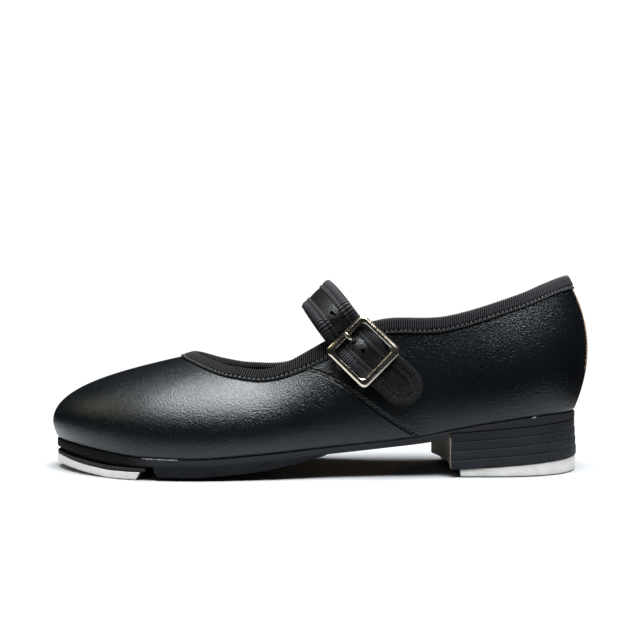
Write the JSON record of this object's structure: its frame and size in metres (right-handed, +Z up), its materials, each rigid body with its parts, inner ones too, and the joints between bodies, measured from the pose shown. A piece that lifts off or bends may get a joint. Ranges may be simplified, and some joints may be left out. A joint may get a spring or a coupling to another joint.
{
  "type": "tap shoe",
  "caption": "Left tap shoe with a buckled instep strap, bound topline, low stacked heel, and metal plates under the toe and the heel.",
  "frame": {"origin": "middle of the shoe's bounding box, on the floor that the two metal taps stand on", "axes": "-X towards the toe, +X towards the heel, -Y outer side of the left foot, +Y inner side, +Z up"},
  "size_m": [0.2484, 0.0852, 0.0889],
  "materials": {
    "upper_leather": "smooth, softly shining",
    "lining_fabric": "matt",
    "stiffener_board": "matt",
    "grosgrain_tape": "ribbed",
    "fibreboard": "matt",
    "sock_fabric": "matt",
    "filler_cork": "matt",
    "steel": "satin",
    "sole_rubber": "matt",
    "tap_metal": "satin",
    "heel_stack": "stacked, edge dressed",
    "buckle_metal": "polished"
  },
  "bodies": {
    "shoe": {"vamp": "upper_leather", "quarter_lateral": "upper_leather", "quarter_medial": "upper_leather", "vamp_lining": "lining_fabric", "quarter_lining": "lining_fabric", "toe_puff": "stiffener_board", "heel_counter": "stiffener_board", "topline_binding": "grosgrain_tape", "insole_board": "fibreboard", "sock_lining": "sock_fabric", "bottom_filler": "filler_cork", "shank": "steel", "outsole": "sole_rubber", "forepart_tread": "sole_rubber", "toe_tap_board": "fibreboard", "toe_tap_spacer": "fibreboard", "toe_tap": "tap_metal", "toe_tap_screw_1": "steel", "toe_tap_screw_2": "steel", "toe_tap_screw_3": "steel", "heel_lift_1": "heel_stack", "heel_lift_2": "heel_stack", "heel_lift_3": "heel_stack", "heel_lift_4": "heel_stack", "heel_tap": "tap_metal", "heel_tap_screw_1": "steel", "heel_tap_screw_2": "steel", "heel_tap_screw_3": "steel", "heel_nail_1": "steel", "heel_nail_2": "steel", "heel_nail_3": "steel", "heel_nail_4": "steel", "buckle_chape": "upper_leather"},
    "strap": {"strap_leather": "upper_leather", "strap_binding": "grosgrain_tape"},
    "buckle": {"buckle_frame": "buckle_metal", "buckle_bar": "buckle_metal"},
    "prong": {"buckle_prong": "buckle_metal"}
  },
  "joints": [
    {"name": "strap_swing", "type": "hinge", "parent": "shoe", "child": "strap", "pos_m": [0.01242, 0.02133, 0.06431], "axis": [-0.9422, 0.0448, -0.3322], "range_deg": [0, 100], "deforming": ["strap_leather", "strap_binding"]},
    {"name": "buckle_tilt", "type": "hinge", "parent": "shoe", "child": "buckle", "pos_m": [0.01987, -0.03201, 0.05525], "axis": [0.7, 0.0451, 0.7127], "range_deg": [-8, 8]},
    {"name": "prong_swing", "type": "hinge", "parent": "buckle", "child": "prong", "pos_m": [0.01987, -0.03201, 0.05525], "axis": [0.7, 0.0451, 0.7127], "range_deg": [0, 115]}
  ]
}
